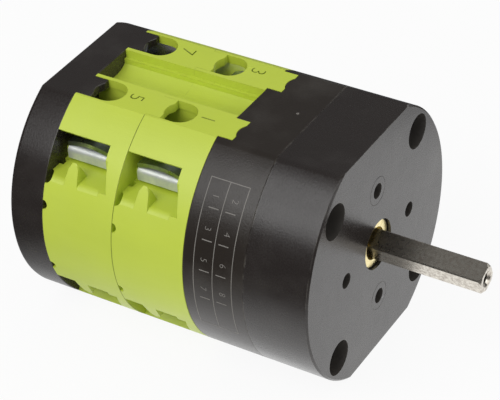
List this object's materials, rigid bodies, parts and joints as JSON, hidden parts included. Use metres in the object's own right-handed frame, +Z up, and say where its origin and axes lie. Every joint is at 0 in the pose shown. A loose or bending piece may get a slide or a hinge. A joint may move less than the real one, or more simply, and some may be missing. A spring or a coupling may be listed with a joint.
{
  "type": "rotary cam switch",
  "caption": "Panel-mounted rotary cam switch: black index head with a square shaft, lime contact decks with clamp terminals, black end plate.",
  "frame": {"origin": "centre of the front mounting face, on the shaft's axis", "axes": "-Y out of the mounting face along the shaft, +Y towards the end plate, +Z up square to the top flat, +X to the right seen from the front"},
  "size_m": [0.061, 0.0996, 0.054],
  "materials": {
    "black_plastic": "satin moulded thermoset, mould marks",
    "lime_plastic": "satin moulded lime green",
    "cream_plastic": "satin moulded",
    "nickel_steel": "drawn square bar, nickel plated",
    "zinc_steel": "zinc plated",
    "brass": "turned, pale",
    "plated_contact": "pressed sheet, bright plating with a bluish tint"
  },
  "bodies": {
    "housing": {"front_housing": "black_plastic", "index_housing": "black_plastic", "contact_deck_1": "lime_plastic", "contact_deck_2": "lime_plastic", "end_plate": "black_plastic", "stop_keys": "brass", "detent_spring_left": "zinc_steel", "detent_spring_right": "zinc_steel", "contact_spring_1": "zinc_steel", "contact_spring_2": "zinc_steel", "contact_spring_3": "zinc_steel", "contact_spring_4": "zinc_steel", "fixed_contact_1": "plated_contact", "fixed_contact_2": "plated_contact", "fixed_contact_3": "plated_contact", "fixed_contact_4": "plated_contact", "fixed_contact_5": "plated_contact", "fixed_contact_6": "plated_contact", "fixed_contact_7": "plated_contact", "fixed_contact_8": "plated_contact", "clamp_saddle_1": "plated_contact", "clamp_saddle_2": "plated_contact", "clamp_saddle_3": "plated_contact", "clamp_saddle_4": "plated_contact", "clamp_saddle_5": "plated_contact", "clamp_saddle_6": "plated_contact", "clamp_saddle_7": "plated_contact", "clamp_saddle_8": "plated_contact", "terminal_screws": "zinc_steel", "housing_screws": "zinc_steel", "tie_screws": "zinc_steel", "tie_nuts": "brass"},
    "shaft": {"drive_shaft": "nickel_steel", "shaft_collar": "brass", "shaft_clip": "zinc_steel", "stop_disc": "zinc_steel", "star_wheel": "cream_plastic", "cam_1": "cream_plastic", "cam_2": "cream_plastic"},
    "slider_1": {"plunger_1": "cream_plastic", "contact_bridge_1": "brass"},
    "slider_2": {"plunger_2": "cream_plastic", "contact_bridge_2": "brass"},
    "slider_3": {"plunger_3": "cream_plastic", "contact_bridge_3": "brass"},
    "slider_4": {"plunger_4": "cream_plastic", "contact_bridge_4": "brass"}
  },
  "joints": [
    {"name": "shaft_turn", "type": "hinge", "parent": "housing", "child": "shaft", "pos_m": [0, 0, 0], "axis": [0, 1, 0], "range_deg": [0, 45], "deforming": ["detent_spring_left", "detent_spring_right"]},
    {"name": "plunger_slide_1", "type": "slide", "parent": "housing", "child": "slider_1", "axis": [1, 0, 0], "range_m": [0, 0.0022], "deforming": ["contact_spring_1"]},
    {"name": "plunger_slide_2", "type": "slide", "parent": "housing", "child": "slider_2", "axis": [-1, 0, 0], "range_m": [0, 0.0022], "deforming": ["contact_spring_2"]},
    {"name": "plunger_slide_3", "type": "slide", "parent": "housing", "child": "slider_3", "axis": [1, 0, 0], "range_m": [0, 0.0022], "deforming": ["contact_spring_3"]},
    {"name": "plunger_slide_4", "type": "slide", "parent": "housing", "child": "slider_4", "axis": [-1, 0, 0], "range_m": [0, 0.0022], "deforming": ["contact_spring_4"]}
  ],
  "couplings": [
    {"joint": "plunger_slide_1", "follows": "shaft_turn", "m_per_rad": 0.0028},
    {"joint": "plunger_slide_2", "follows": "shaft_turn", "m_per_rad": 0.0028},
    {"joint": "plunger_slide_3", "follows": "shaft_turn", "m_per_rad": 0.0028},
    {"joint": "plunger_slide_4", "follows": "shaft_turn", "m_per_rad": 0.0028}
  ]
}
